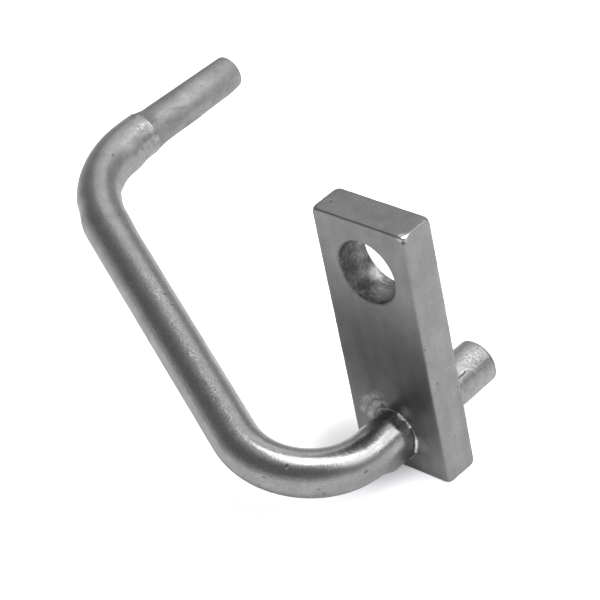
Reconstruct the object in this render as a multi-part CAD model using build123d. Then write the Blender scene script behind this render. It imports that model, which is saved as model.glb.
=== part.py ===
from build123d import *
from math import cos, radians, sin
import os

# Piston cooling nozzle
#
# A steel tube runs straight through a flat steel plate and is brazed to it.
# Inside the plate the tube is swelled a little, which grips the plate for the brazing.
# Behind the plate the tube's short end is a spigot that plugs into the oil gallery.
# In front of the plate the tube turns outwards, runs along a straight leg and turns again,
# so that its far end points the same way as the spigot, under the piston.
# That far end is drawn down to a slim tapered nozzle with a small jet bore.
#
# Frame: the origin is on the tube's axis, in the plane of the plate's seat face.
# +Y runs along the spigot into the engine block, +Z along the plate up to the bolt hole.
# All sizes are in millimetres and all angles in degrees.

# Mounting plate
plate_length = 48.0
plate_width = 19.0
plate_thickness = 6.5
plate_corner_round = 0.5
plate_end_round = 0.35
tube_to_plate_end = 6.9
tube_to_middle_line = 0.7

# Bolt hole
bolt_hole_diameter = 11.3
bolt_hole_to_plate_end = 9.5
bolt_hole_chamfer = 0.3

# Tube
tube_diameter = 8.0
tube_wall = 1.5

# Spigot behind the plate
spigot_length = 15.0
spigot_chamfer = 0.4
spigot_bore_chamfer = 0.3

# Bends and straight runs in front of the plate
lead_out_length = 6.3
lower_bend_radius = 13.0
lower_bend_angle = 114.0
leg_length = 53.0
upper_bend_radius = 21.0
neck_run_length = 2.8
bend_plane_tilt = 15.0

# Drawn-down nozzle end
neck_taper_length = 2.4
neck_diameter = 6.9
nozzle_length = 20.4
nozzle_end_diameter = 6.2
nozzle_end_chamfer = 0.3
jet_bore_diameter = 3.0
jet_bore_chamfer = 0.3
funnel_length = 6.0

# Brazed joint
grip_swell = 0.2
braze_gap = 0.05
seat_bore_chamfer = 0.4
braze_along_tube = 1.6
braze_along_plate = 0.6
braze_lip = 0.12
braze_hollow = 0.14

# Radii and places worked out from the sizes above
tube_radius = tube_diameter / 2
tube_bore_radius = tube_radius - tube_wall
grip_radius = tube_radius + grip_swell
tube_hole_radius = grip_radius + braze_gap
jet_bore_radius = jet_bore_diameter / 2
bolt_hole_radius = bolt_hole_diameter / 2
bolt_hole_distance = plate_length - tube_to_plate_end - bolt_hole_to_plate_end
cutter_overrun = 1.0

# The bends lie in one plane through the tube's axis, tilted up towards the bolt hole
outwards = (-cos(radians(bend_plane_tilt)), 0, sin(radians(bend_plane_tilt)))
bend_plane = Plane((0, 0, 0), x_dir=outwards, z_dir=Vector(outwards).cross(Vector(0, 1, 0)))


def turned(profile, start, direction):
    """Turn a profile, drawn as (distance along the axis, radius), about an axis."""
    body = revolve(profile, Axis.X)
    across = Vector(0, 0, 1) if abs(Vector(direction).Z) < 0.5 else Vector(0, 1, 0)
    return Plane(start, x_dir=direction, z_dir=across) * body


def bore_cutter(radius, front_chamfer, seat_chamfer):
    """Cut a bore through the plate's thickness, with a chamfer at each face that has one."""
    past_front = front_chamfer + cutter_overrun
    past_seat = seat_chamfer + cutter_overrun
    depth = plate_thickness
    outline = [
        (-cutter_overrun, 0),
        (-cutter_overrun, radius + (past_front if front_chamfer else 0)),
        (front_chamfer, radius),
        (depth - seat_chamfer, radius),
        (depth + cutter_overrun, radius + (past_seat if seat_chamfer else 0)),
        (depth + cutter_overrun, 0),
    ]
    return make_face(Polyline(outline, close=True))


def make_plate():
    """Drawn flat bar, cut to length, with a bolt hole near one end and the tube's bore near the other."""
    bar = Box(plate_width, plate_thickness, plate_length, align=(Align.CENTER, Align.MAX, Align.MIN))
    bar = Pos(tube_to_middle_line, 0, -tube_to_plate_end) * bar
    bar = fillet(bar.edges().filter_by(Axis.Z), plate_corner_round)
    bar = fillet(bar.faces().filter_by(Axis.Z).edges(), plate_end_round)
    bolt_hole = bore_cutter(bolt_hole_radius, bolt_hole_chamfer, bolt_hole_chamfer)
    tube_hole = bore_cutter(tube_hole_radius, 0, seat_bore_chamfer)
    bolt_hole_front = (tube_to_middle_line, -plate_thickness, bolt_hole_distance)
    bar -= turned(bolt_hole, bolt_hole_front, (0, 1, 0))
    bar -= turned(tube_hole, (0, -plate_thickness, 0), (0, 1, 0))
    return bar


def make_centre_line():
    """The tube's centre line from the seat face to its neck, in the plane of the bends."""
    straight = Line((0, 0), (0, -plate_thickness - lead_out_length))
    lower_bend = JernArc(straight @ 1, straight % 1, lower_bend_radius, lower_bend_angle)
    leg = Line(lower_bend @ 1, lower_bend @ 1 + (lower_bend % 1) * leg_length)
    upper_bend = JernArc(leg @ 1, leg % 1, upper_bend_radius, 180 - lower_bend_angle)
    neck_run = Line(upper_bend @ 1, upper_bend @ 1 + (upper_bend % 1) * neck_run_length)
    return Wire([straight, lower_bend, leg, upper_bend, neck_run])


def make_grip():
    """The stretch inside the plate's bore, swelled to grip the plate before the brazing."""
    outline = [
        (0, tube_bore_radius),
        (0, grip_radius),
        (plate_thickness - grip_swell, grip_radius),
        (plate_thickness, tube_radius),
        (plate_thickness, tube_bore_radius),
    ]
    return make_face(Polyline(outline, close=True))


def make_spigot():
    """The tube's short end behind the plate, with its rim broken inside and out."""
    outline = [
        (0, tube_bore_radius),
        (0, tube_radius),
        (spigot_length - spigot_chamfer, tube_radius),
        (spigot_length, tube_radius - spigot_chamfer),
        (spigot_length, tube_bore_radius + spigot_bore_chamfer),
        (spigot_length - spigot_bore_chamfer, tube_bore_radius),
    ]
    return make_face(Polyline(outline, close=True))


def make_nozzle():
    """The drawn-down end: a short taper, then a slim cone round the jet bore."""
    end = neck_taper_length + nozzle_length
    end_radius = nozzle_end_diameter / 2
    outline = [
        (0, tube_bore_radius),
        (0, tube_radius),
        (neck_taper_length, neck_diameter / 2),
        (end, end_radius),
        (end, jet_bore_radius + jet_bore_chamfer),
        (end - jet_bore_chamfer, jet_bore_radius),
        (funnel_length, jet_bore_radius),
    ]
    section = make_face(Polyline(outline, close=True))
    rim = section.vertices().sort_by_distance((end, end_radius))[0]
    return chamfer(rim, nozzle_end_chamfer)


def make_tube():
    """One length of tube: spigot, grip, two bends with a straight leg between them, and nozzle."""
    centre_line = make_centre_line()
    ring = Circle(tube_radius) - Circle(tube_bore_radius)
    bent = sweep(Plane(centre_line @ 0, z_dir=centre_line % 0) * ring, path=centre_line)
    grip = turned(make_grip(), centre_line @ 0, centre_line % 0)
    spigot = turned(make_spigot(), centre_line @ 0, -(centre_line % 0))
    nozzle = turned(make_nozzle(), centre_line @ 1, centre_line % 1)
    return bend_plane * (spigot + grip + bent + nozzle)


def make_braze():
    """Hollow fillet of braze metal round the tube, against the plate's front face."""
    on_tube = (braze_along_tube, tube_radius + braze_lip)
    on_plate = (braze_lip, tube_radius + braze_along_plate)
    foot = [on_plate, (0, tube_radius + braze_along_plate), (0, tube_radius)]
    back = Polyline(foot, (braze_along_tube, tube_radius), on_tube)
    face = SagittaArc(on_tube, on_plate, braze_hollow)
    section = make_face(Wire([*back.edges(), face]))
    return turned(section, (0, -plate_thickness, 0), (0, -1, 0))


parts = {
    "mounting_plate": make_plate(),
    "oil_tube": make_tube(),
    "braze_fillet": make_braze(),
}

os.makedirs("parts", exist_ok=True)
for name, part in parts.items():
    export_step(part, f"parts/{name}.step")
    print(f"{name}: {part.volume:.1f} mm3")
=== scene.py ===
import functools
import logging
import math
from dataclasses import dataclass, field
from enum import Enum

import bmesh
import bpy
from mathutils import Matrix, Vector, noise


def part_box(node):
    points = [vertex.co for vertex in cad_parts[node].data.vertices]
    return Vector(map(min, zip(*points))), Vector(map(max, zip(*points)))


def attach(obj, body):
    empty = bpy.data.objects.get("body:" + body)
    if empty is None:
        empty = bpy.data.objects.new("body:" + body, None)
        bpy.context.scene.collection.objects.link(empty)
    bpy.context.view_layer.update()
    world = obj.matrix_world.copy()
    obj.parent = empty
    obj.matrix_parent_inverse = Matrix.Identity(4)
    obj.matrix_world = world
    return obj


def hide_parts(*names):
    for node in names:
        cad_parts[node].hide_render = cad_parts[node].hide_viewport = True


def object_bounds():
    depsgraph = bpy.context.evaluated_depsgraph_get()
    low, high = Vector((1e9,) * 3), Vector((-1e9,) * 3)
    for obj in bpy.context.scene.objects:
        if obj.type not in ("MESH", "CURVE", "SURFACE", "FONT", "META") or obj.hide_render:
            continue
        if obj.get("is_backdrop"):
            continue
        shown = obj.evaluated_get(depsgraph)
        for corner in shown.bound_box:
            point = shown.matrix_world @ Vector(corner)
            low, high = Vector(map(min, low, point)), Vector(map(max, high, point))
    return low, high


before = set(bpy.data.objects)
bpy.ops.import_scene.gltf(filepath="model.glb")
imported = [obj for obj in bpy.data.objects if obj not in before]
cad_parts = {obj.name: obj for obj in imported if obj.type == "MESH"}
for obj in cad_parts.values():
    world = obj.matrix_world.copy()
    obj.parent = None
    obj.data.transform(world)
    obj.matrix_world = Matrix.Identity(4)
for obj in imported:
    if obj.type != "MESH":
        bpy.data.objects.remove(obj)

# Piston cooling nozzle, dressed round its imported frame
#
# The origin is on the tube's axis, in the plane of the plate's seat face.
# +Y runs along the spigot, +Z along the plate to the bolt hole, and the leg reaches out along -X.
# Lengths are in millimetres, and a mesh is written in metres.

Socket = bpy.types.NodeSocket
Edges = list[bmesh.types.BMEdge]
Pair = tuple[float, float]
Triple = tuple[float, float, float]
Colour = tuple[float, float, float, float]

MM = 0.001
BODY = "root"
TUBE_RADIUS = 4.0
PLATE_THICKNESS = 6.5

# Where round the tube the braze metal has sagged most, in degrees from +X towards +Z
SAG_SIDE = -70.0

logging.basicConfig(level=logging.INFO, format="%(message)s")
log = logging.getLogger("nozzle")


class Slot(Enum):
    """The record's material slots."""

    PLATE = "plate_steel"
    TUBE = "tube_steel"
    BRAZE = "braze_metal"


class Node(Enum):
    """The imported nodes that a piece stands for."""

    PLATE = "mounting_plate"
    TUBE = "oil_tube"
    BRAZE = "braze_fillet"


class Graph:
    """The node tree of a material or world, with short calls for the nodes that the finishes share."""

    MIDDLE = (0.3, 0.7)

    def __init__(self, owner: bpy.types.Material | bpy.types.World) -> None:
        """Start with an empty tree.

        Args:
            owner: what the tree belongs to.
        """
        owner.use_nodes = True
        self.tree = owner.node_tree
        self.tree.nodes.clear()

    def add(
        self, kind: str, inputs: dict[int | str, object] | None = None, **settings: object
    ) -> bpy.types.Node:
        """Add one node.

        Args:
            kind: the node's type name.
            inputs: a number, a colour or another node's output, for each input that gets one.
            settings: the node's own settings.

        Returns:
            The new node.
        """
        node = self.tree.nodes.new(kind)
        for name, value in settings.items():
            setattr(node, name, value)
        for name, value in (inputs or {}).items():
            if isinstance(value, Socket):
                self.tree.links.new(value, node.inputs[name])
            else:
                node.inputs[name].default_value = value
        return node

    def math(self, operation: str, *numbers: object) -> Socket:
        """Work out one number from up to three."""
        return self.add("ShaderNodeMath", dict(enumerate(numbers)), operation=operation).outputs[0]

    def times(self, *factors: object) -> Socket:
        """Multiply several numbers."""
        return functools.reduce(lambda first, second: self.math("MULTIPLY", first, second), factors)

    def span(
        self, value: object, low: float, high: float, start: object = 0.0, end: object = 1.0
    ) -> Socket:
        """Map a value from low..high to start..end, with soft ends."""
        inputs = {"Value": value, "From Min": low, "From Max": high, "To Min": start, "To Max": end}
        return self.add("ShaderNodeMapRange", inputs, interpolation_type="SMOOTHSTEP").outputs["Result"]

    def edge(self, value: Socket, mark: float, edge: Pair, start: float = 0.0, end: float = 1.0) -> Socket:
        """Map a value to start..end over an edge, which is given as (from, to) past a mark."""
        return self.span(value, mark + edge[0], mark + edge[1], start, end)

    def vary(self, values: Socket, low: float, high: float) -> Socket:
        """Turn soft random values, which keep to their middle range, into a factor from low to high."""
        return self.span(values, *self.MIDDLE, low, high)

    def mix(self, factor: object, first: object, second: object) -> Socket:
        """Mix two numbers."""
        inputs = {"Factor": factor, "A": first, "B": second}
        return self.add("ShaderNodeMix", inputs, data_type="FLOAT").outputs["Result"]

    def where(self, mask: Socket, factor: object) -> Socket:
        """A factor that counts only where the mask is 1."""
        return self.mix(mask, 1.0, factor)

    def vector(self, operation: str, first: object, second: object) -> bpy.types.Node:
        """Work on two vectors."""
        return self.add("ShaderNodeVectorMath", {0: first, 1: second}, operation=operation)

    def millimetres(self) -> Socket:
        """The object's coordinates in millimetres."""
        return self.stretch(self.add("ShaderNodeTexCoord").outputs["Object"], (1 / MM, 1 / MM, 1 / MM))

    def stretch(self, vector: Socket, by: Triple) -> Socket:
        """Multiply a vector by three numbers."""
        return self.vector("MULTIPLY", vector, by).outputs[0]

    def axes(self, vector: Socket) -> tuple[Socket, ...]:
        """Split a vector into its three numbers."""
        return tuple(self.add("ShaderNodeSeparateXYZ", {0: vector}).outputs)

    def far_from(self, vector: Socket, point: Triple) -> Socket:
        """The distance from a point."""
        return self.vector("DISTANCE", vector, point).outputs["Value"]

    def far_from_line(self, vector: Socket, start: Triple, end: Triple) -> Socket:
        """The distance from a straight line between two points.

        Args:
            vector: the coordinates.
            start: where the line starts.
            end: where it ends.

        Returns:
            The socket with the distance.
        """
        run = Vector(end) - Vector(start)
        offset = self.vector("SUBTRACT", vector, start).outputs[0]
        share = self.vector("DOT_PRODUCT", offset, run / run.length_squared).outputs["Value"]
        held = self.add("ShaderNodeClamp", {"Value": share}).outputs[0]
        foot = self.add("ShaderNodeVectorMath", {0: run, "Scale": held}, operation="SCALE").outputs[0]
        return self.vector("DISTANCE", offset, foot).outputs["Value"]

    def off_axis(self, vector: Socket, x: float, z: float) -> Socket:
        """The distance from an axis that runs along Y."""
        return self.far_from(self.stretch(vector, (1.0, 0.0, 1.0)), (x, 0.0, z))

    def noise(self, vector: Socket, scale: float, detail: float = 2.0, warp: float = 0.0) -> Socket:
        """Soft random values round 0.5; the scale is in features per millimetre."""
        inputs = {"Vector": vector, "Scale": scale, "Detail": detail, "Distortion": warp}
        return self.add("ShaderNodeTexNoise", inputs).outputs["Fac"]

    def waver(self, vector: Socket, scale: float, most: float, detail: float = 2.0) -> Socket:
        """Soft random values from minus the most to plus the most."""
        return self.math("MULTIPLY_ADD", self.noise(vector, scale, detail), 2.0 * most, -most)

    def pits(self, vector: Socket, scale: float, share: float, size: float) -> Socket:
        """Scattered pits: 0 in a pit and 1 elsewhere.

        Args:
            vector: the coordinates in millimetres.
            scale: how many places for a pit there are in a millimetre.
            share: the share of those places that have one.
            size: a pit's radius in millimetres.

        Returns:
            The socket with the mask.
        """
        cells = self.add("ShaderNodeTexVoronoi", {"Vector": vector, "Scale": scale}).outputs
        chances = self.axes(cells["Color"])
        radius = size * scale
        edge = self.math("ADD", cells["Distance"], self.waver(vector, 4.0, 0.4 * radius, 1.0))
        edge = self.math("SUBTRACT", edge, self.times(chances[1], radius))
        chosen = self.math("LESS_THAN", chances[0], share)
        return self.math("SUBTRACT", 1.0, self.times(self.span(edge, 0.35 * radius, 0.0), chosen))

    def relief(self, *layers: tuple[Socket, float]) -> Socket:
        """Lay several bumps over each other.

        Args:
            layers: for each bump its heights from 0 to 1 and its depth in millimetres.

        Returns:
            The socket with the normal.
        """
        below = {}
        for height, depth in layers:
            bump = self.add("ShaderNodeBump", {"Distance": depth * MM, "Height": height, **below})
            below = {"Normal": bump.outputs["Normal"]}
        return below["Normal"]

    def metal(self, lightness: Socket, roughness: Socket, normal: Socket) -> None:
        """End the tree with one bare grey metal surface.

        Args:
            lightness: the grey's lightness.
            roughness: the surface's roughness.
            normal: the surface's relief.
        """
        grey = self.add("ShaderNodeCombineColor", dict.fromkeys(range(3), lightness)).outputs["Color"]
        inputs = {"Metallic": 1.0, "Base Color": grey, "Roughness": roughness, "Normal": normal}
        surface = self.add("ShaderNodeBsdfPrincipled", inputs).outputs["BSDF"]
        self.add("ShaderNodeOutputMaterial", {"Surface": surface})


@dataclass(frozen=True)
class Stroke:
    """A soft darker or lighter stroke: full within its core, and gone at its reach."""

    start: Triple
    end: Triple
    core: float
    reach: float
    factor: float

    def over(self, graph: Graph, vector: Socket) -> Socket:
        """The stroke as a factor on the lightness."""
        away = graph.far_from_line(vector, self.start, self.end)
        return graph.span(away, self.core, self.reach, self.factor, 1.0)


@dataclass(frozen=True)
class TubeFinish:
    """Satin drawn steel with fine pits, rougher on the upper bend and matt on the drawn-down nozzle.

    An edge gives where a look starts and where it is full, past the end, bend, neck or plane that it
    belongs to. Strokes and the painted sparkle line lie on the straightened tube, and the spigot's marks
    and its painted reflection stripes on the object itself. Several strokes, those stripes, the sparkle
    line and the lighter top and darker underside by the plate are painted light and shade.
    """

    lightness: float = 0.36
    polished: float = 0.26
    bent: float = 0.35
    swaged: float = 0.58
    stub: float = 0.42
    heated: float = 0.36
    drawn_depth: float = 0.008
    grain_depth: float = 0.048
    hammered_depth: float = 0.045
    pit_depth: float = 0.04
    rim_light: float = 0.4
    rim_edge: Pair = (0.75, 0.35)
    stub_edge: Pair = (1.0, -1.0)
    heat_edge: Pair = (2.9, 1.0)
    heat_side: Pair = (0.0, 1.6)
    painted_light_rise: Pair = (1.4, 2.6)
    leg_start: Pair = (-8.0, 8.0)
    leg_end: Pair = (-5.0, 10.0)
    bend_edge: Pair = (-25.0, 8.0)
    worked_edge: Pair = (-7.0, -1.5)
    nozzle_edge: Pair = (-0.1, 0.2)
    sparkle_edge: Pair = (1.3, 0.3)
    painted_sparkle_line: tuple[Triple, Triple] = ((0.9, 3.9, 50.0), (-0.3, 4.0, 92.0))
    scratch_line: tuple[Triple, Triple] = ((2.9, 7.0, 2.76), (2.83, 8.7, 2.83))
    run_centre: Triple = (3.6, 8.6, 1.7)
    run_radius: float = 1.75
    crust_centre: Triple = (2.3, 12.0, 3.2)
    # Painted reflection on the spigot: a darker stripe along its upper side and a lighter one along its lower
    # side.
    painted_stub_bands: tuple[Stroke, ...] = (
        Stroke((3.53, 0.0, 1.88), (3.53, 15.0, 1.88), 0.15, 0.95, 0.84),
        Stroke((3.85, 0.0, -1.1), (3.85, 15.0, -1.1), 0.8, 2.2, 1.12),
    )
    strokes: tuple[Stroke, ...] = (
        Stroke((-1.7, 2.94, 139.6), (-2.41, 2.33, 141.6), 0.1, 0.45, 0.84),
        Stroke((-1.3, 3.1, 140.3), (-2.0, 2.7, 142.4), 0.15, 0.7, 1.1),
        # Painted light: the nozzle's lower side made lighter.
        Stroke((-3.3, -0.23, 137.0), (-3.1, -0.2, 156.0), 0.6, 1.8, 1.12),
        # Painted light: a dark reflection stripe along the leg made lighter.
        Stroke((-2.75, 2.9, 56.0), (-3.06, 2.57, 104.0), 0.3, 1.1, 1.08),
        # Painted reflection: a darker stripe along the lead-out, where the tube reflects the dark plate.
        Stroke((-1.35, 3.76, 21.5), (-1.3, 3.78, 29.5), 0.7, 1.9, 0.84),
        Stroke((1.8, 3.58, 42.0), (2.1, 3.4, 42.1), 0.08, 0.28, 0.4),
        # Painted glint beside the pit on the lower bend.
        Stroke((2.3, 3.28, 41.9), (2.36, 3.23, 42.0), 0.1, 0.3, 1.9),
        Stroke((3.76, 1.37, 44.5), (3.77, 1.35, 44.7), 0.08, 0.3, 0.6),
        Stroke((3.96, 0.56, 37.7), (3.96, 0.56, 37.8), 0.08, 0.3, 0.65),
        Stroke((3.65, 1.63, 31.4), (3.65, 1.63, 31.6), 0.1, 0.36, 0.55),
    )

    def material(self, path: "TubePath") -> bpy.types.Material:
        """Build the material.

        Args:
            path: the tube's path, which says where its stretches begin and end.

        Returns:
            The finished material.
        """
        material = bpy.data.materials.new("tube_satin_steel")
        graph = Graph(material)
        place = graph.millimetres()
        straight = graph.add("ShaderNodeAttribute", attribute_name=OilTube.STRAIGHT).outputs["Vector"]
        along = graph.axes(straight)[2]
        grain = graph.noise(straight, 2.7)
        drawn = graph.noise(graph.stretch(straight, (1.0, 1.0, 0.06)), 2.2)
        streaks = graph.noise(graph.stretch(straight, (1.0, 1.0, 0.25)), 0.5, 2.0, 0.2)
        patches = graph.noise(straight, 0.2, 2.0, 0.6)
        blotches = graph.noise(straight, 0.55, 3.0, 0.5)
        hammered = graph.noise(straight, 1.0, 2.0, 0.4)
        # Painted sparkle: lighter specks in a strip along the leg's highlight edge, where the lamp catches
        # fine roughness.
        painted_sparkle = graph.noise(straight, 3.0, 2.0, 0.8)
        pits = graph.pits(straight, 0.5, 0.5, 0.25)
        painted_sparkle_strip = graph.span(graph.far_from_line(straight, *self.painted_sparkle_line), *self.sparkle_edge)
        nozzle = graph.edge(along, path.neck, self.nozzle_edge)
        bend = graph.edge(along, path.upper_start, self.bend_edge)
        stub = graph.edge(along, path.spigot, self.stub_edge)
        rim = graph.span(along, *self.rim_edge)
        worked = graph.times(graph.edge(along, path.neck, self.worked_edge), graph.where(nozzle, 0.1))
        leg = graph.times(
            graph.edge(along, path.lower_end, self.leg_start, 0.36, 1.0),
            graph.edge(along, path.upper_start, self.leg_end, 1.0, 0.4),
        )
        crept = graph.math("ADD", along, graph.vary(blotches, -0.9, 0.9))
        sideways, _, upwards = graph.axes(place)
        heated = graph.times(
            graph.edge(crept, path.plate_front, self.heat_edge),
            graph.span(sideways, *self.heat_side),
            graph.math("SUBTRACT", 1.0, stub),
        )
        # By the plate the tube's top is lighter, partly as bright braze-wetted metal and partly as a painted
        # highlight, and its underside darker as the fillet's painted shadow, both mottled by the grain.
        painted_lit_side = graph.span(upwards, *self.painted_light_rise)
        heat_grain_and_painted_light = graph.mix(painted_lit_side, graph.vary(grain, 0.8, 1.0), graph.vary(grain, 1.4, 2.1))
        marks, marks_relief = self.stub_marks(graph, place, stub)
        lightness = graph.times(
            graph.span(grain, 0.25, 0.75, 0.92 * self.lightness, 1.08 * self.lightness),
            graph.vary(patches, 0.94, 1.06),
            graph.span(blotches, 0.35, 0.65, 0.95, 1.05),
            graph.where(worked, graph.span(hammered, 0.36, 0.64, 0.84, 1.1)),
            graph.mix(pits, graph.mix(nozzle, 0.5, 0.8), 1.0),
            graph.where(nozzle, graph.span(streaks, 0.36, 0.64, 0.84, 0.96)),
            graph.where(painted_sparkle_strip, graph.span(painted_sparkle, 0.4, 0.62, 0.86, 1.3)),
            *(stroke.over(graph, straight) for stroke in self.strokes),
            graph.where(rim, self.rim_light),
            graph.where(heated, heat_grain_and_painted_light),
            marks,
        )
        roughness = graph.mix(bend, self.polished, self.bent)
        for part, rough in ((nozzle, self.swaged), (stub, self.stub), (heated, self.heated)):
            roughness = graph.mix(part, roughness, rough)
        roughness = graph.math("ADD", roughness, graph.vary(patches, 0.04, -0.04))
        relief = graph.relief(
            (drawn, self.drawn_depth),
            (graph.times(grain, leg), self.grain_depth),
            (graph.times(hammered, worked), self.hammered_depth),
            (graph.times(pits, marks_relief), self.pit_depth),
        )
        graph.metal(lightness, roughness, relief)
        return material

    def stub_marks(self, graph: Graph, place: Socket, stub: Socket) -> tuple[Socket, Socket]:
        """The spigot's marks: a scratch, the edge of a braze run and a crust of fine dark specks, with a
        painted dark and a painted light reflection stripe along it.

        Args:
            graph: the tube's material.
            place: the object's coordinates in millimetres.
            stub: 1 on the spigot and 0 elsewhere.

        Returns:
            The sockets with the marks' lightness and with their relief.
        """
        wavy = graph.waver(place, 1.6, 0.25)
        scratch = graph.math("ADD", graph.far_from_line(place, *self.scratch_line), wavy)
        scratch = graph.span(scratch, 0.06, 0.26)
        from_run = graph.math("ADD", graph.far_from(place, self.run_centre), wavy)
        from_run = graph.math("ABSOLUTE", graph.math("SUBTRACT", from_run, self.run_radius))
        high = graph.span(graph.axes(place)[2], 1.2, 2.2)
        run = graph.times(graph.span(from_run, 0.26, 0.08), high, stub)
        crusted = graph.span(graph.far_from(place, self.crust_centre), 3.4, 1.2)
        crumbs = graph.noise(place, 2.6, 3.0, 0.8)
        crust = graph.times(graph.span(crumbs, 0.55, 0.62), crusted)
        glints = graph.times(graph.span(crumbs, 0.45, 0.38), crusted)
        flecks = graph.times(graph.span(graph.noise(place, 2.1, 2.0, 0.3), 0.6, 0.7), stub)
        painted_bands = graph.times(*(band.over(graph, place) for band in self.painted_stub_bands))
        lightness = graph.times(
            graph.mix(scratch, 0.32, 1.0),
            graph.where(run, 1.45),
            graph.where(crust, 0.62),
            graph.where(glints, 1.3),
            graph.where(flecks, 1.2),
            graph.where(stub, painted_bands),
        )
        relief = graph.times(scratch, graph.where(crust, 0.5), graph.mix(run, 0.85, 1.0))
        return lightness, relief


@dataclass(frozen=True)
class Blot:
    """A soft darker or lighter place with an uneven outline."""

    centre: Triple
    reach: float
    factor: float

    def over(self, graph: Graph, at: Socket) -> Socket:
        """The place as a factor on the lightness."""
        away = graph.math("ADD", graph.far_from(at, self.centre), graph.waver(at, 0.9, 0.4 * self.reach))
        return graph.span(away, 0.25 * self.reach, self.reach, self.factor, 1.0)


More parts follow.
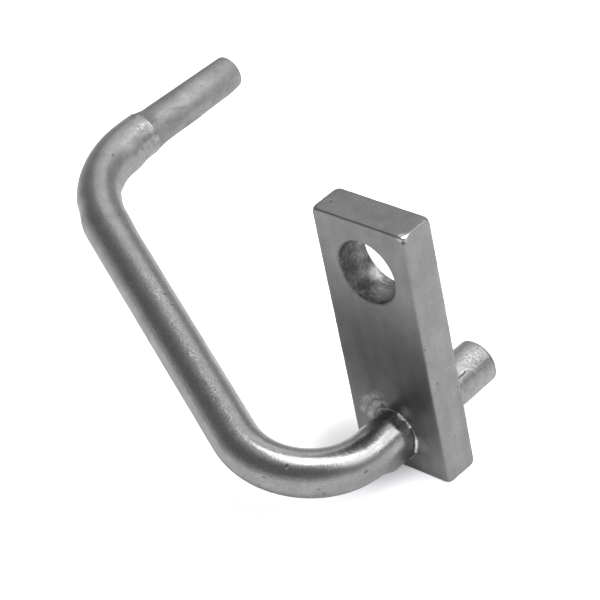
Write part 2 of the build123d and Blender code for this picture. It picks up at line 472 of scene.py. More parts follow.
@dataclass(frozen=True)
class PlateFinish:
    """Drawn bar, darker on its front face round and above the joint, with a rough-drilled bolt hole whose
    wall carries painted shade and light, and with a painted glint and a painted shade on its faces.
    """

    lightness: float = 0.325
    roughness: float = 0.42
    wall_roughness: float = 0.4
    tip_roughness: float = 0.2
    grain_depth: float = 0.012
    pit_depth: float = 0.04
    tool_depth: float = 0.16
    hole_edge: Pair = (0.35, 0.05)
    front_edge: Pair = (0.14, 0.02)
    end_edge: Pair = (0.2, 0.02)
    tip_edge: Pair = (1.1, 0.6)
    dark_centre: Pair = (0.7, 12.0)
    dark_from: float = 3.0
    dark_to: float = 23.0
    darkest_front: float = 0.48
    front_light: float = 0.93
    end_light: float = 0.75
    stain_light: float = 2.3
    stain_centre: Pair = (-4.4, 4.8)
    # Painted shade: the drilled wall is darker, as in the hole's shade.
    painted_wall_shade: float = 0.5
    scratched: Triple = (-3.2, -4.2, 35.0)
    # Painted light and shade on the drilled wall: darker places where it is shaded and lighter ones where
    # light reaches it.
    painted_wall_light_and_shade: tuple[Blot, ...] = (
        Blot((-2.6, -4.3, 26.8), 2.3, 0.4),
        Blot((-5.0, -4.6, 30.5), 2.6, 0.6),
        Blot((-2.7, -1.1, 27.1), 1.9, 2.4),
        Blot((-4.9, -1.2, 31.6), 2.2, 1.35),
        Blot((1.0, -3.6, 25.9), 3.2, 1.5),
        Blot((2.6, -6.2, 26.3), 1.2, 0.6),
    )
    face_blots: tuple[Blot, ...] = (
        Blot((-6.8, -3.8, 41.1), 0.45, 0.5),
        Blot((10.0, -6.4, 40.2), 0.5, 0.3),
        # Painted glint on the chipped tip.
        Blot((9.7, -6.1, 41.1), 1.2, 2.2),
        Blot((3.6, -6.5, 5.2), 1.6, 1.8),
        Blot((5.4, -6.5, -0.7), 1.9, 1.65),
        Blot((-1.7, -6.5, 4.7), 0.8, 0.6),
        # Painted shade on the front under the tube, at the plate's foot.
        Blot((1.8, -6.5, -6.7), 3.6, 0.62),
    )

    def material(self, plate: "MountingPlate") -> bpy.types.Material:
        """Build the material.

        Args:
            plate: the plate, which says where its faces and holes are.

        Returns:
            The finished material.
        """
        material = bpy.data.materials.new("plate_dulled_steel")
        graph = Graph(material)
        place = graph.millimetres()
        depth, height = graph.axes(place)[1:]
        grain = graph.noise(place, 3.2)
        patches = graph.noise(place, 0.22, 3.0, 0.4)
        smears = graph.noise(graph.stretch(place, (1.0, 1.0, 0.2)), 0.45, 2.0, 0.3)
        pits = graph.pits(place, 0.4, 0.3, 0.24)
        from_hole = graph.off_axis(place, plate.bolt_centre.x, plate.bolt_centre.z)
        in_hole = graph.edge(from_hole, plate.bolt_radius, self.hole_edge)
        front = graph.edge(depth, plate.low.y, self.front_edge)
        foot = graph.edge(height, plate.low.z, self.end_edge)
        top = graph.edge(graph.math("MULTIPLY", height, -1.0), -plate.high.z, self.end_edge)
        from_dark_centre = graph.off_axis(place, *self.dark_centre)
        front_darkening = graph.span(from_dark_centre, self.dark_from, self.dark_to, self.darkest_front, self.front_light)
        lightness = graph.times(
            graph.span(grain, 0.25, 0.75, 0.94 * self.lightness, 1.06 * self.lightness),
            graph.vary(patches, 0.95, 1.05),
            graph.vary(smears, 0.94, 1.06),
            graph.where(front, front_darkening),
            graph.where(graph.math("MAXIMUM", top, foot), self.end_light),
            graph.where(self.stain(graph, place, front), self.stain_light),
            # Painted shade and light on the drilled wall, with its tool scratches.
            graph.where(in_hole, self.wall_shade_and_marks(graph, place)),
            graph.mix(pits, 0.5, 1.0),
            *(blot.over(graph, place) for blot in self.face_blots),
        )
        tip = (plate.high.x - 0.5, plate.low.y + 0.4, plate.high.z)
        at_tip = graph.span(graph.far_from(place, tip), *self.tip_edge)
        roughness = graph.vary(patches, self.roughness + 0.04, self.roughness - 0.04)
        roughness = graph.mix(in_hole, roughness, self.wall_roughness)
        roughness = graph.mix(at_tip, roughness, self.tip_roughness)
        tool = graph.times(self.tool_marks(graph, place), in_hole)
        relief = graph.relief((grain, self.grain_depth), (pits, self.pit_depth), (tool, self.tool_depth))
        graph.metal(lightness, roughness, relief)
        return material

    def stain(self, graph: Graph, place: Socket, front: Socket) -> Socket:
        """The pale, uneven flux stain beside the joint: two broken arcs and a patch between them.

        Args:
            graph: the plate's material.
            place: the object's coordinates in millimetres.
            front: 1 on the front face and 0 elsewhere.

        Returns:
            The socket with the stain's mask.
        """
        from_tube = graph.math("ADD", graph.off_axis(place, 0.0, 0.0), graph.waver(place, 0.5, 0.8))
        outer = graph.times(graph.span(from_tube, 6.2, 6.9), graph.span(from_tube, 8.0, 7.2))
        inner = graph.times(graph.span(from_tube, 4.7, 5.1), graph.span(from_tube, 6.3, 5.7))
        broken = graph.span(graph.noise(place, 0.9, 2.0, 0.4), 0.38, 0.58, 0.35, 1.0)
        near = graph.span(graph.off_axis(place, *self.stain_centre), 4.6, 2.8)
        both = graph.math("MAXIMUM", graph.times(outer, 0.75), inner)
        return graph.times(both, broken, near, front)

    @staticmethod
    def tool_marks(graph: Graph, place: Socket) -> Socket:
        """Uneven marks that run round the drilled wall."""
        return graph.noise(graph.stretch(place, (0.35, 2.2, 0.35)), 1.4, 3.0, 0.5)

    def wall_shade_and_marks(self, graph: Graph, place: Socket) -> Socket:
        """The drilled wall's painted shade, made uneven and given painted lighter and darker places, with
        bright scratches high on its left.

        Args:
            graph: the plate's material.
            place: the object's coordinates in millimetres.

        Returns:
            The socket with the factor on the lightness.
        """
        scratches = graph.span(self.tool_marks(graph, place), 0.54, 0.62)
        scratches = graph.times(scratches, graph.span(graph.far_from(place, self.scratched), 3.4, 1.4))
        clouds = graph.noise(place, 0.32, 3.0, 0.8)
        return graph.times(
            graph.span(clouds, 0.38, 0.62, 0.8 * self.painted_wall_shade, 1.2 * self.painted_wall_shade),
            graph.vary(graph.noise(place, 1.8, 3.0), 0.75, 1.25),
            graph.where(scratches, 1.9),
            *(blot.over(graph, place) for blot in self.painted_wall_light_and_shade),
        )


@dataclass(frozen=True)
class BrazeFinish:
    """Bright broken bead over a dull, rough fillet."""

    dull: float = 0.32
    bright: float = 0.95
    dull_roughness: float = 0.45
    bright_roughness: float = 0.3
    grain_depth: float = 0.06

    def material(self) -> bpy.types.Material:
        """Build the material.

        Returns:
            The finished material.
        """
        material = bpy.data.materials.new("braze_uneven_metal")
        graph = Graph(material)
        bead = graph.add("ShaderNodeAttribute", attribute_name=BrazeJoint.BEAD).outputs["Fac"]
        grain = graph.noise(graph.millimetres(), 2.6, 3.0)
        lightness = graph.times(graph.mix(bead, self.dull, self.bright), graph.vary(grain, 0.7, 1.25))
        roughness = graph.mix(bead, self.dull_roughness, self.bright_roughness)
        graph.metal(lightness, roughness, graph.relief((grain, self.grain_depth)))
        return material


@dataclass(frozen=True)
class Station:
    """One ring of a skin: where it lies and faces, its radius, and its distance along the skin."""

    place: Matrix
    radius: float
    along: float


@dataclass(frozen=True)
class TubePath:
    """The tube's centre line, from the spigot's end to the nozzle's end."""

    spigot: float = 15.0
    plate: float = PLATE_THICKNESS
    lead_out: float = 6.3
    lower_radius: float = 13.0
    lower_angle: float = 114.0
    leg: float = 53.0
    upper_radius: float = 21.0
    neck_run: float = 2.8
    neck_taper: float = 2.4
    nozzle: float = 20.4
    tilt: float = 15.0

    @property
    def plate_front(self) -> float:
        """Where the tube comes out of the plate's front face."""
        return self.spigot + self.plate

    @property
    def upper_angle(self) -> float:
        """How far the upper bend turns back, so that the nozzle points the way the spigot does."""
        return 180.0 - self.lower_angle

    @property
    def lower_start(self) -> float:
        """Where the lower bend starts."""
        return self.plate_front + self.lead_out

    @property
    def lower_end(self) -> float:
        """Where the lower bend ends."""
        return self.lower_start + self.lower_radius * math.radians(self.lower_angle)

    @property
    def upper_start(self) -> float:
        """Where the upper bend starts."""
        return self.lower_end + self.leg

    @property
    def upper_end(self) -> float:
        """Where the upper bend ends."""
        return self.upper_start + self.upper_radius * math.radians(self.upper_angle)

    @property
    def neck(self) -> float:
        """Where the full diameter ends."""
        return self.upper_end + self.neck_run

    @property
    def neck_end(self) -> float:
        """Where the short taper ends."""
        return self.neck + self.neck_taper

    @property
    def end(self) -> float:
        """Where the nozzle ends."""
        return self.neck_end + self.nozzle

    def at(self, along: float) -> Matrix:
        """Place a ring on the centre line.

        Args:
            along: the distance from the spigot's end.

        Returns:
            A matrix whose Z axis points along the tube and whose X axis points to the outside of the bends.
        """
        place = Matrix.Translation((0.0, self.spigot, 0.0))
        place = place @ Matrix.Rotation(math.radians(self.tilt), 4, "Y")
        place = place @ Matrix.Rotation(math.radians(90.0), 4, "X")
        runs = (
            (self.lower_start, 0.0, 0.0),
            (self.lower_end - self.lower_start, self.lower_radius, self.lower_angle),
            (self.leg, 0.0, 0.0),
            (self.upper_end - self.upper_start, self.upper_radius, self.upper_angle),
            (math.inf, 0.0, 0.0),
        )
        left = along
        for length, radius, angle in runs:
            step = min(left, length)
            if radius:
                hinge = Matrix.Translation((-radius, 0.0, 0.0))
                turn = Matrix.Rotation(-math.radians(angle) * step / length, 4, "Y")
                place = place @ hinge @ turn @ hinge.inverted()
            else:
                place = place @ Matrix.Translation((0.0, 0.0, step))
            left -= step
            if left <= 0.0:
                break
        return place


def added(name: str, data: bpy.types.ID) -> bpy.types.Object:
    """Add an object to the scene.

    Args:
        name: the object's name.
        data: its mesh, light or camera.

    Returns:
        The object.
    """
    thing = bpy.data.objects.new(name, data)
    bpy.context.scene.collection.objects.link(thing)
    return thing


def along_y(start: Vector, way: float, outline: list[Pair]) -> list[Station]:
    """Lay stations along a straight axis.

    Args:
        start: where the axis starts.
        way: 1 where it runs along +Y, and -1 where it runs along -Y.
        outline: the stations, as (distance along, radius).

    Returns:
        The stations.
    """
    stations = []
    turned = Matrix.Rotation(math.radians(-90.0 * way), 4, "X")
    for along, radius in outline:
        place = Matrix.Translation(start + Vector((0.0, way * along, 0.0))) @ turned
        stations.append(Station(place, radius, along))
    return stations


class Skin:
    """A closed mesh that is grown ring by ring, in millimetres."""

    def __init__(self) -> None:
        """Start with an empty mesh."""
        self.bm = bmesh.new()

    def sweep(self, stations: list[Station], sides: int) -> list[Edges]:
        """Make a ring at the first station and extrude it through all the others.

        Args:
            stations: where the rings lie.
            sides: how many edges a ring has.

        Returns:
            The edges of each station's ring.
        """
        at = stations[0]
        made = bmesh.ops.create_circle(
            self.bm, cap_ends=False, segments=sides, radius=at.radius, matrix=at.place
        )["verts"]
        rings = [list({edge for vert in made for edge in vert.link_edges})]
        for start, end in zip(stations, stations[1:]):
            made = bmesh.ops.extrude_edge_only(self.bm, edges=rings[-1])["geom"]
            verts = [item for item in made if isinstance(item, bmesh.types.BMVert)]
            edges = [item for item in made if isinstance(item, bmesh.types.BMEdge)]
            move = end.place @ Matrix.Scale(end.radius / start.radius, 4) @ start.place.inverted()
            bmesh.ops.transform(self.bm, matrix=move, verts=verts)
            fresh = set(verts)
            rings.append([edge for edge in edges if fresh.issuperset(edge.verts)])
        return rings

    def close(self, rings: list[Edges]) -> None:
        """Join the last ring to the first."""
        bmesh.ops.bridge_loops(self.bm, edges=rings[0] + rings[-1])

    @staticmethod
    def verts(edges: Edges) -> set[bmesh.types.BMVert]:
        """The vertices of a ring."""
        return {vert for edge in edges for vert in edge.verts}

    def finish(self, name: str, smooth_angle: float = 35.0) -> bpy.types.Object:
        """Turn the faces outward and write the mesh in metres.

        Args:
            name: the piece's name.
            smooth_angle: the sharpest edge, in degrees, that is still shaded smooth.

        Returns:
            The piece, linked to the scene.
        """
        bmesh.ops.recalc_face_normals(self.bm, faces=self.bm.faces)
        for face in self.bm.faces:
            face.smooth = True
        for edge in self.bm.edges:
            edge.smooth = edge.calc_face_angle(0.0) < math.radians(smooth_angle)
        bmesh.ops.scale(self.bm, vec=(MM, MM, MM), verts=self.bm.verts)
        mesh = bpy.data.meshes.new(name)
        self.bm.to_mesh(mesh)
        self.bm.free()
        return added(name, mesh)


def settle(
    piece: bpy.types.Object, material: bpy.types.Material, node: Node
) -> bpy.types.Object:
    """Dress a piece and let it stand for its node.

    Args:
        piece: the piece.
        material: its finish.
        node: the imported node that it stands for.

    Returns:
        The piece.
    """
    piece.data.materials.clear()
    piece.data.materials.append(material)
    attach(piece, BODY)
    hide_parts(node.value)
    return piece


def even_shares(length: float, step: float) -> list[float]:
    """Shares from 0 to 1 that cut a length into steps of nearly one size."""
    count = max(1, round(length / step))
    return [index / count for index in range(count + 1)]


def held(share: float) -> float:
    """Hold a share between 0 and 1."""
    return min(1.0, max(0.0, share))


def uneven(place: Vector, *waves: Triple) -> float:
    """The sum of soft random waves, each given as (height, how many in a unit, seed)."""
    return sum(high * noise.noise(place * count + Vector((0.0, 0.0, seed))) for high, count, seed in waves)


def sagged(angle: float) -> float:
    """How far the braze metal has sagged at an angle about the tube: 0 above it to 1 underneath."""
    return max(0.0, math.cos(angle - math.radians(SAG_SIDE))) ** 6


@dataclass(frozen=True)
class Lump:
    """A place where bending or swaging has pushed the wall out or in."""

    along: float
    reach: float
    towards: float
    height: float

    def at(self, flat: Vector) -> float:
        """How far the wall has shifted outwards at one place of the straightened tube."""
        facing = max(0.0, math.cos(math.atan2(flat.y, flat.x) - math.radians(self.towards)))
        return self.height * facing ** 2 * math.exp(-(((flat.z - self.along) / self.reach) ** 2))


@dataclass
class OilTube:
    """The bent tube: spigot, two bends, straight leg and drawn-down nozzle, open from end to end."""

    STRAIGHT = "straight"

    path: TubePath = field(default_factory=TubePath)
    radius: float = TUBE_RADIUS
    bore: float = 2.5
    outside_from: float = 2.9
    spigot_chamfer: float = 0.4
    bore_chamfer: float = 0.3
    ledge: float = 0.12
    neck_radius: float = 3.45
    end_radius: float = 3.1
    end_round: float = 0.4
    end_turns: int = 6
    jet: float = 1.5
    funnel: float = 6.0
    sides: int = 96
    uneven_wave: Triple = (0.012, 0.22, 0.0)
    uneven_from: float = 1.0
    plain_neck: float = 0.5
    grip_swell: float = 0.2
    grip_seam: float = 0.01
    flare: float = 0.8
    flare_side: float = 50.0
    flare_from: float = 8.5
    flare_crest: float = 2.5
    flare_hollow: float = 0.55
    flare_step: float = 0.35
    sag: float = 1.05
    sag_from: float = 7.0
    sag_crest: float = 4.2
    lumps: tuple[Lump, ...] = (
        Lump(107.5, 3.0, 180.0, 0.25),
        Lump(117.0, 2.6, 180.0, -0.25),
        Lump(127.6, 3.4, 180.0, 0.64),
        Lump(111.8, 1.8, 0.0, -0.3),
        Lump(144.5, 8.0, 180.0, 0.48),
        Lump(136.0, 2.0, 180.0, 0.16),
        Lump(153.0, 3.0, 180.0, 0.3),
    )
    finish: TubeFinish = field(default_factory=TubeFinish)

    def outline(self) -> list[Pair]:
        """The skin's half section, as (distance along, radius), once round the wall.

        Returns:
            The points, from the spigot's rim over the outside to the jet and back through the bore.
        """
        path = self.path
        grip = self.radius + self.grip_swell
        grip_start = path.spigot + self.grip_seam
        flared = (path.plate_front + self.flare_from, self.radius)
        rim = path.end - self.end_round
        outside = [(0.0, self.bore + self.bore_chamfer), (0.0, self.radius - self.spigot_chamfer)]
        outside += self.steps((self.spigot_chamfer, self.radius), (path.spigot - self.grip_seam, self.radius))
        outside += self.steps((grip_start, grip), (path.plate_front - self.grip_swell, grip))
        outside += self.steps((path.plate_front, self.radius), flared, self.flare_step)
        outside += self.steps(flared, (path.neck, self.radius))[1:]
        outside += [(path.neck + self.ledge, self.radius - self.ledge)]
        outside += self.steps((path.neck_end, self.neck_radius), (rim, self.end_radius))
        for turn in range(1, self.end_turns + 1):
            angle = math.radians(90.0 * turn / self.end_turns)
            shift = self.end_round * (1.0 - math.cos(angle))
            outside.append((rim + self.end_round * math.sin(angle), self.end_radius - shift))
        inside = [(path.end, self.jet + self.bore_chamfer), (path.end - self.bore_chamfer, self.jet)]
        inside += [(path.neck + self.funnel, self.jet)]
        inside += reversed(self.steps((self.bore_chamfer, self.bore), (path.neck, self.bore)))
        return outside + inside

    @staticmethod
    def steps(start: Pair, end: Pair, step: float = 1.0) -> list[Pair]:
        """Evenly spaced points on a straight line between two points, with both of them."""
        shares = even_shares(end[0] - start[0], step)
        return [tuple(one + (other - one) * share for one, other in zip(start, end)) for share in shares]

    def build(self) -> bpy.types.Object:
        """Grow the skin along the outline.

        Returns:
            The tube's piece.
        """
        skin = Skin()
        straight = skin.bm.verts.layers.float_vector.new(self.STRAIGHT)
        stations = [Station(self.path.at(along), radius, along) for along, radius in self.outline()]
        rings = skin.sweep(stations, self.sides)
        skin.close(rings)
        for edges, station in zip(rings, stations):
            self.mark(skin.verts(edges), station, straight)
        for vert in skin.bm.verts:
            self.wobble(vert, straight)
        return skin.finish(Node.TUBE.value + "_skin")

    @staticmethod
    def mark(verts: set[bmesh.types.BMVert], station: Station, layer: object) -> None:
        """Write in a layer where each vertex of a ring would be on a straight tube."""
        for vert in verts:
            vert[layer] = Vector((*(station.place.inverted() @ vert.co).xy, station.along))

    def wobble(self, vert: bmesh.types.BMVert, layer: object) -> None:
        """Move an outside vertex in or out a little, as on a drawn and bent tube.

        Args:
            vert: the vertex.
            layer: where its place on the straight tube is written.
        """
        flat = vert[layer]
        radial = Vector((flat.x, flat.y, 0.0))
        if radial.length < self.outside_from:
            return
        shift = sum(lump.at(flat) for lump in self.lumps) + self.crept(vert.co, flat.z)
        if self.uneven_from < flat.z < self.path.neck - self.plain_neck:
            shift += uneven(flat, self.uneven_wave)
        vert.co += (self.path.at(flat.z).to_3x3() @ radial).normalized() * shift

    def crept(self, place: Vector, along: float) -> float:
        """The thickness of the braze metal that has crept up the tube beside the plate.

        Args:
            place: the vertex's place.
            along: its distance from the spigot's end.

        Returns:
            The thickness in millimetres.
        """
        gap = along - self.path.plate_front
        if not 0.0 <= gap < self.flare_from:
            return 0.0
        angle = math.atan2(place.z, place.x)
        facing = max(0.0, math.cos(angle - math.radians(self.flare_side))) ** 2
        rise = held((self.flare_from - gap) / (self.flare_from - self.flare_crest)) ** 1.7
        rise *= 1.0 - self.flare_hollow * held(1.0 - gap / self.flare_crest) ** 2
        fall = held((self.sag_from - gap) / (self.sag_from - self.sag_crest)) ** 1.2
        return self.flare * facing * rise + self.sag * sagged(angle) * fall

    def dress(self) -> bpy.types.Object:
        """Build the tube and give it its finish."""
        return settle(self.build(), self.finish.material(self.path), Node.TUBE)


@dataclass
class MountingPlate:
    """The flat bar with its bolt hole and the tube's bore."""

    low: Vector = field(default_factory=lambda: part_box(Node.PLATE.value)[0] / MM)
    high: Vector = field(default_factory=lambda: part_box(Node.PLATE.value)[1] / MM)
    corner_round: float = 0.5
    corner_segments: int = 6
    end_round: float = 0.35
    end_segments: int = 4
    cell: float = 0.4
    edge_wear: float = 0.04
    tip_reach: float = 1.1
    tip_radius: float = 1.4
    rim: float = 1.7
    flat_facing: float = 0.999
    chip_normal: Vector = field(default_factory=lambda: Vector((0.455, -0.192, 0.87)).normalized())
    chip_depth: float = 0.42
    bolt_radius: float = 5.65
    bolt_to_end: float = 9.5
    bolt_chamfer: float = 0.3
    bore_radius: float = 4.25
    bore_chamfer: float = 0.4
    sides: int = 128
    tool_wave: Triple = (0.03, 1.0, 7.0)
    tool_pitch: float = 0.6
    tool_row: float = 0.125
    wear_within: float = 0.97
    wear_level: float = 0.3
    wear_waves: tuple[Triple, ...] = ((1.0, 0.5, 0.0), (0.6, 1.4, 0.0))
    finish: PlateFinish = field(default_factory=PlateFinish)

    @property
    def thickness(self) -> float:
        """The bar's thickness."""
        return self.high.y - self.low.y

    @property
    def bolt_centre(self) -> Vector:
        """The bolt hole's centre on the front face."""
        return Vector(((self.low.x + self.high.x) / 2, self.low.y, self.high.z - self.bolt_to_end))

    def build(self) -> bpy.types.Object:
        """Make the rounded bar, then open its two big faces for the holes.

        Returns:
            The plate's piece.
        """
        skin = Skin()
        bm = skin.bm
        size = self.high - self.low
        middle = (self.high + self.low) / 2
        bar = Matrix.Translation(middle) @ Matrix.Diagonal((*size, 1.0))
        bmesh.ops.create_cube(bm, size=1.0, matrix=bar)
        upright = [edge for edge in bm.edges if abs(edge.verts[0].co.z - edge.verts[1].co.z) > 1.0]
        self.round_off(bm, upright, self.corner_round, self.corner_segments)
        self.round_off(bm, self.sharp(bm), self.end_round, self.end_segments)
        self.cut_rows(bm)
        for vert in bm.verts:
            self.wear(vert)
        flats = [face for face in bm.faces if self.on_flat(face)]
        fronts = {face for face in flats if face.normal.y < 0.0}
        backs = {face for face in flats if face.normal.y > 0.0}
        outlines = (self.border(fronts), self.border(backs))
        bmesh.ops.delete(bm, geom=flats, context="FACES")
        bolt = self.hole(skin, self.bolt_centre, self.bolt_radius, self.bolt_chamfer, self.bolt_chamfer)
        bore = self.hole(skin, Vector((0.0, self.low.y, 0.0)), self.bore_radius, 0.0, self.bore_chamfer)
        for outline, rims in zip(outlines, zip(bolt, bore)):
            edges = outline + [edge for rim in rims for edge in rim]
            bmesh.ops.triangle_fill(bm, use_beauty=True, edges=edges)
        loose = [vert for vert in bm.verts if not vert.link_faces]
        bmesh.ops.delete(bm, geom=loose, context="VERTS")
        return skin.finish(Node.PLATE.value + "_skin")

    def cut_rows(self, bm: bmesh.types.BMesh) -> None:
        """Cut the bar's faces into even rows, which the wear needs.

        Args:
            bm: the bar's mesh.
        """
        for axis in range(3):
            first = self.low[axis] + self.corner_round
            last = self.high[axis] - self.corner_round
            count = round((last - first) / self.cell)
            normal = Vector([float(index == axis) for index in range(3)])
            for row in range(1, count):
                place = normal * (first + (last - first) * row / count)
                whole = bm.verts[:] + bm.edges[:] + bm.faces[:]
                bmesh.ops.bisect_plane(bm, geom=whole, plane_co=place, plane_no=normal)

    @staticmethod
    def sharp(bm: bmesh.types.BMesh) -> Edges:
        """The edges where two of the bar's sides still meet at a right angle."""
        return [edge for edge in bm.edges if edge.calc_face_angle(0.0) > 1.3]

    @staticmethod
    def round_off(bm: bmesh.types.BMesh, edges: Edges, radius: float, segments: int) -> None:
        """Round edges off to one radius."""
        bmesh.ops.bevel(
            bm, geom=edges, offset=radius, segments=segments, profile=0.5, affect="EDGES", material=-1
        )

    def on_flat(self, face: bmesh.types.BMFace) -> bool:
        """Whether a face lies on the bar's front or back, well inside the worn edges."""
        place = face.calc_center_median()
        return abs(face.normal.y) > self.flat_facing and all(
            self.low[axis] + self.rim < place[axis] < self.high[axis] - self.rim for axis in (0, 2)
        )

    @staticmethod
    def border(patch: set[bmesh.types.BMFace]) -> Edges:
        """The edges round a patch of faces, which only one of its faces has."""
        edges = {edge for face in patch for edge in face.edges}
        return [edge for edge in edges if sum(face in patch for face in edge.link_faces) == 1]

    def wear(self, vert: bmesh.types.BMVert) -> None:
        """Press an edge's vertex in a little, round the eight tips more, and flatten the chipped tip.

        Args:
            vert: one of the bar's vertices.
        """
        middle = (self.high + self.low) / 2
        half = (self.high - self.low) / 2
        offset = vert.co - middle
        side = Vector([math.copysign(1.0, value) for value in offset])
        out = Vector([abs(value) for value in offset])
        reach = (self.corner_round, self.corner_round, self.end_round)
        if sum(half[axis] - out[axis] < reach[axis] * self.wear_within for axis in range(3)) >= 2:
            rough = max(0.0, self.wear_level + uneven(vert.co, *self.wear_waves))
            out -= out.normalized() * self.edge_wear * rough
        core = Vector([value - self.tip_reach for value in half])
        past = out - core
        if min(past) > 0.0 and past.length > self.tip_radius:
            out = core + past.normalized() * self.tip_radius
        vert.co = middle + Vector([value * way for value, way in zip(out, side)])
        tip = Vector((self.high.x, self.low.y, self.high.z))
        beyond = (vert.co - tip).dot(self.chip_normal) + self.chip_depth
        if beyond > 0.0:
            vert.co -= self.chip_normal * beyond

    def hole(
        self, skin: Skin, centre: Vector, radius: float, front: float, back: float
    ) -> tuple[Edges, Edges]:
        """Grow a hole's wall through the plate.

        Args:
            skin: the plate's skin.
            centre: the hole's centre on the front face.
            radius: the wall's radius.
            front: the chamfer at the front face.
            back: the chamfer at the seat face.

        Returns:
            The edges of the rims on the front and seat faces.
        """
        wall = self.thickness - front - back
        depths = [front + wall * share for share in even_shares(wall, self.tool_row)]
        outline = [(0.0, radius + front)] if front else []
        outline += [(depth, radius + self.mark(depth)) for depth in depths]
        outline += [(self.thickness, radius + back)] if back else []
        rings = skin.sweep(along_y(centre, 1.0, outline), self.sides)
        return rings[0], rings[-1]

    def mark(self, depth: float) -> float:
        """The height of the drill's marks at one depth."""
        swing = math.sin(2.0 * math.pi * depth / self.tool_pitch)
        return swing * uneven(Vector((depth, 0.0, 0.0)), self.tool_wave)

    def dress(self) -> bpy.types.Object:
        """Build the plate and give it its finish."""
        return settle(self.build(), self.finish.material(self), Node.PLATE)


@dataclass
class BrazeJoint:
    """The ring of braze: a broken bead on the plate and a rough fillet up the tube."""

    BEAD = "bead"

    front: float = -PLATE_THICKNESS
    tube_radius: float = TUBE_RADIUS
    reach: float = 0.44
    drift: float = 0.85
    climb: float = 0.9
    bead_size: float = 0.3
    bead_arcs: tuple[Triple, ...] = (
        (59.0, 14.0, 1.0),
        (41.0, 11.0, 0.6),
        (-14.0, 25.0, 0.9),
        (105.0, 30.0, 0.2),
    )
    bead_low: float = 0.3
    bead_rise: float = 1.1
    bead_thin: float = 0.4
    sink: float = 0.02
    spread_waves: tuple[Triple, ...] = ((0.06, 2.5, 0.0), (0.04, 9.0, 0.0))
    broken_waves: tuple[Triple, ...] = ((0.9, 6.1, 4.0), (0.7, 17.0, 0.0))
    height_wave: Triple = (0.25, 2.0, 9.0)
    rough_wave: Triple = (0.03, 3.0, 0.0)
    turns: int = 8
    sides: int = 360
    smooth_angle: float = 80.0
    finish: BrazeFinish = field(default_factory=BrazeFinish)

    def build(self) -> bpy.types.Object:
        """Grow the ring's section round the tube, then make it uneven.

        Returns:
            The braze's piece.
        """
        skin = Skin()
        bead = skin.bm.verts.layers.float.new(self.BEAD)
        points = self.outline()
        section = [(up, out) for up, out, _ in points]
        rings = skin.sweep(along_y(Vector((0.0, self.front, 0.0)), -1.0, section), self.sides)
        skin.close(rings)
        for edges, (_, _, share) in zip(rings, points):
            for vert in skin.verts(edges):
                self.shape(vert, share, bead)
        return skin.finish(Node.BRAZE.value + "_skin", self.smooth_angle)

    def outline(self) -> list[Triple]:
        """The ring's section, as (height over the plate, radius, share of bead).

        Returns:
            The points, from the plate over the bead and up the tube, and back underneath.
        """
        centre = self.tube_radius + self.reach
        points = [(-self.sink, centre + self.bead_size, 0.0)]
        for turn in range(self.turns + 1):
            angle = math.radians(180.0 * turn / self.turns)
            points.append((self.bead_size * math.sin(angle), centre + self.bead_size * math.cos(angle), 1.0))
        inner = centre - self.bead_size
        top = self.tube_radius + self.sink
        for step in range(1, self.turns + 1):
            share = step / self.turns
            points.append((self.climb * share ** 1.6, inner + (top - inner) * share ** 0.6, 0.0))
        points.append((self.climb, self.tube_radius - self.sink, 0.0))
        points.append((-self.sink, self.tube_radius - self.sink, 0.0))
        return points

    def bead_at(self, angle: float) -> float:
        """How full the bead is at one angle about the tube, in degrees, from 0 to 1."""
        turned = [((angle - middle + 180.0) % 360.0 - 180.0) / reach for middle, reach, _ in self.bead_arcs]
        return max(arc[2] * held(1.0 - away ** 4) for arc, away in zip(self.bead_arcs, turned))

    def shape(self, vert: bmesh.types.BMVert, share: float, layer: object) -> None:
        """Spread the ring on its thick side, vary its height and break up the bead.

        Args:
            vert: one of the ring's vertices.
            share: how much of the bead it belongs to.
            layer: where the bead's brightness is written.
        """
        out = Vector((vert.co.x, 0.0, vert.co.z))
        radius = out.length
        up = self.front - vert.co.y
        angle = math.atan2(out.z, out.x)
        around = Vector((math.cos(angle), math.sin(angle), 0.0))
        spread = self.drift * sagged(angle) + uneven(around, *self.spread_waves)
        broken = 1.0 + uneven(around, *self.broken_waves)
        strength = held(self.bead_at(math.degrees(angle)) * broken)
        vert[layer] = share * strength
        if up <= 0.0 and radius < self.tube_radius:
            return
        spread *= held((radius - self.tube_radius) / self.reach)
        if up > 0.0:
            fuller = self.bead_low + self.bead_rise * strength
            up *= fuller if share else 1.0 + uneven(around, self.height_wave)
            spread += uneven(vert.co, self.rough_wave)
        if share:
            middle = self.tube_radius + self.reach
            radius = middle + (radius - middle) * (self.bead_thin + (1.0 - self.bead_thin) * strength)
        grown = out.normalized() * (radius + spread)
        vert.co = Vector((grown.x, self.front - up, grown.z))

    def dress(self) -> bpy.types.Object:
        """Build the braze and give it its finish."""
        return settle(self.build(), self.finish.material(), Node.BRAZE)


@dataclass(frozen=True)
class Softbox:
    """A rectangular area lamp that points at the part."""

    name: str
    azimuth: float
    elevation: float
    distance: float
    width: float
    depth: float
    radiance: float

    def place(self, target: Triple) -> None:
        """Add the lamp.

        Args:
            target: the point that it faces, in metres.
        """
        turn, lift = math.radians(self.azimuth), math.radians(self.elevation)
        away = Vector((math.cos(lift) * math.cos(turn), math.cos(lift) * math.sin(turn), math.sin(lift)))
        light = bpy.data.lights.new(self.name, "AREA")
        light.shape = "RECTANGLE"
        light.size, light.size_y = self.width, self.depth
        light.energy = self.radiance * math.pi * self.width * self.depth
        lamp = added(self.name, light)
        lamp.location = Vector(target) + away * self.distance
        lamp.rotation_euler = away.to_track_quat("Z", "Y").to_euler()


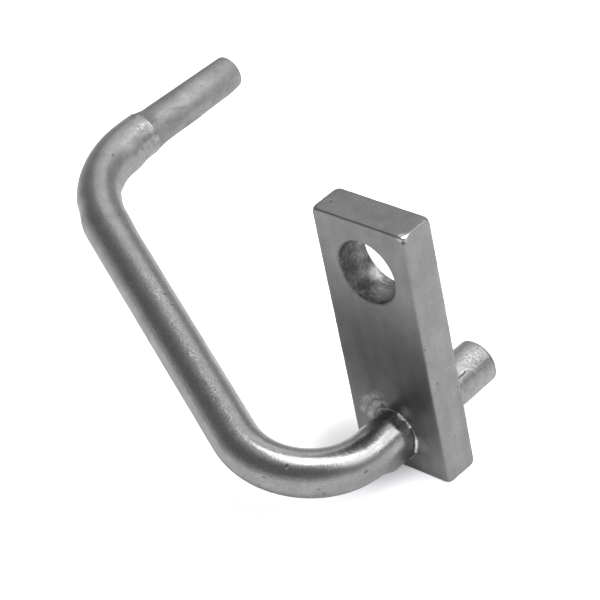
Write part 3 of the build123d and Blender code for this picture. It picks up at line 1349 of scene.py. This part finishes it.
@dataclass(frozen=True)
class Studio:
    """A pale table under soft lamps, with a painted soft shade near the plate's foot, a pale backdrop beyond
    it and a dim room in front.
    """

    target: Triple = (-0.03, 0.0, 0.01)
    table_size: float = 6.0
    table_colour: Colour = (0.85, 0.85, 0.85, 1.0)
    lift_in_metal: float = 0.2
    lift_in_view: float = 0.78
    # Near the plate's foot the table's lift drops: the object's shadow shows more, and a soft shade is
    # painted left of the plate where no shadow falls.
    lift_in_painted_shade: float = 0.2
    foot: Pair = (-8.5, -3.5)
    shade_core: float = 6.0
    shade_reach: float = 17.0
    lift_tint: Colour = (0.965, 0.96, 1.0, 1.0)
    room: float = 0.26
    backdrop: float = 0.52
    backdrop_side: Triple = (0.0, 1.0, 0.0)
    backdrop_edge: Pair = (-0.4, 0.6)
    skirting: float = 0.72
    skirting_edge: Pair = (0.42, 0.1)
    ceiling: float = 0.3
    ceiling_edge: Pair = (0.84, 0.98)
    lamps: tuple[Softbox, ...] = (
        Softbox("overhead_softbox", 44.0, 72.0, 0.6, 0.36, 0.36, 4.7),
        Softbox("right_softbox", 24.0, 41.0, 0.8, 0.52, 0.46, 2.15),
        Softbox("far_softbox", 122.0, 45.0, 0.8, 0.6, 0.42, 0.65),
    )

    def build(self) -> None:
        """Set up the table, the world and the lamps."""
        bpy.context.scene.view_settings.view_transform = "Standard"
        self.table()
        self.world()
        for lamp in self.lamps:
            lamp.place(self.target)
        log.info("studio: %d lamps", len(self.lamps))

    def table(self) -> None:
        """Lay the table under the plate's foot, with its lift lowered near the foot as a painted soft shade.
        """
        bm = bmesh.new()
        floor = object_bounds()[0][2]
        bmesh.ops.create_grid(bm, x_segments=1, y_segments=1, size=self.table_size / 2)
        bmesh.ops.translate(bm, vec=(0.0, 0.0, floor), verts=bm.verts)
        mesh = bpy.data.meshes.new("table")
        bm.to_mesh(mesh)
        bm.free()
        material = bpy.data.materials.new("pale_table")
        graph = Graph(material)
        rays = graph.add("ShaderNodeLightPath").outputs
        in_metal = graph.math("MAXIMUM", rays["Is Glossy Ray"], rays["Is Transmission Ray"])
        in_metal = graph.math("MULTIPLY", in_metal, self.lift_in_metal)
        away = graph.far_from(graph.millimetres(), (*self.foot, floor / MM))
        view_lift_with_painted_shade = graph.span(away, self.shade_core, self.shade_reach, self.lift_in_painted_shade, self.lift_in_view)
        strength = graph.mix(rays["Is Camera Ray"], in_metal, view_lift_with_painted_shade)
        matt = graph.add("ShaderNodeBsdfDiffuse", {"Color": self.table_colour}).outputs[0]
        lift = graph.add("ShaderNodeEmission", {"Color": self.lift_tint, "Strength": strength}).outputs[0]
        both = graph.add("ShaderNodeAddShader", {0: matt, 1: lift}).outputs[0]
        graph.add("ShaderNodeOutputMaterial", {"Surface": both})
        mesh.materials.append(material)
        added("table", mesh)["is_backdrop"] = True

    def world(self) -> None:
        """Make the room: white for the camera, and a backdrop, a skirting and a dim front for the metal."""
        world = bpy.data.worlds.new("studio")
        bpy.context.scene.world = world
        graph = Graph(world)
        towards = graph.add("ShaderNodeTexCoord").outputs["Generated"]
        side = graph.vector("DOT_PRODUCT", towards, self.backdrop_side).outputs["Value"]
        height = graph.axes(towards)[2]
        glow = graph.span(side, *self.backdrop_edge, self.room, self.backdrop)
        glow = graph.mix(graph.span(height, *self.skirting_edge), glow, self.skirting)
        glow = graph.math("ADD", glow, graph.span(height, *self.ceiling_edge, 0.0, self.ceiling))
        strength = graph.mix(graph.add("ShaderNodeLightPath").outputs["Is Camera Ray"], glow, 1.0)
        shade = graph.add("ShaderNodeBackground", {"Strength": strength}).outputs[0]
        graph.add("ShaderNodeOutputWorld", {"Surface": shade})


@dataclass(frozen=True)
class Viewpoint:
    """The photograph's camera."""

    place: Triple = (282.836, -267.881, 292.014)
    aim: Triple = (-28.82, 4.86, 9.09)
    roll: float = 12.38
    lens: float = 180.0
    sensor: float = 36.0
    nearest: float = 0.01

    def build(self) -> None:
        """Add the camera."""
        place = Vector(self.place)
        forward = (Vector(self.aim) - place).normalized()
        level = forward.cross(Vector((0.0, 0.0, 1.0))).normalized()
        upright = level.cross(forward)
        lean = math.radians(self.roll)
        right = level * math.cos(lean) - upright * math.sin(lean)
        up = upright * math.cos(lean) + level * math.sin(lean)
        turn = Matrix((right, up, -forward)).transposed()
        data = bpy.data.cameras.new("camera")
        data.lens = self.lens
        data.sensor_width = self.sensor
        data.clip_start = self.nearest
        camera = added("camera", data)
        camera.matrix_world = Matrix.Translation(place * MM) @ turn.to_4x4()
        bpy.context.scene.camera = camera


def main() -> None:
    """Build the camera, the studio and the pieces, and log each piece's face count."""
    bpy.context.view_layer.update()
    Viewpoint().build()
    Studio().build()
    for part in (OilTube(), MountingPlate(), BrazeJoint()):
        piece = part.dress()
        log.info("%s: %d faces", piece.name, len(piece.data.polygons))


if __name__ == "__main__":
    main()
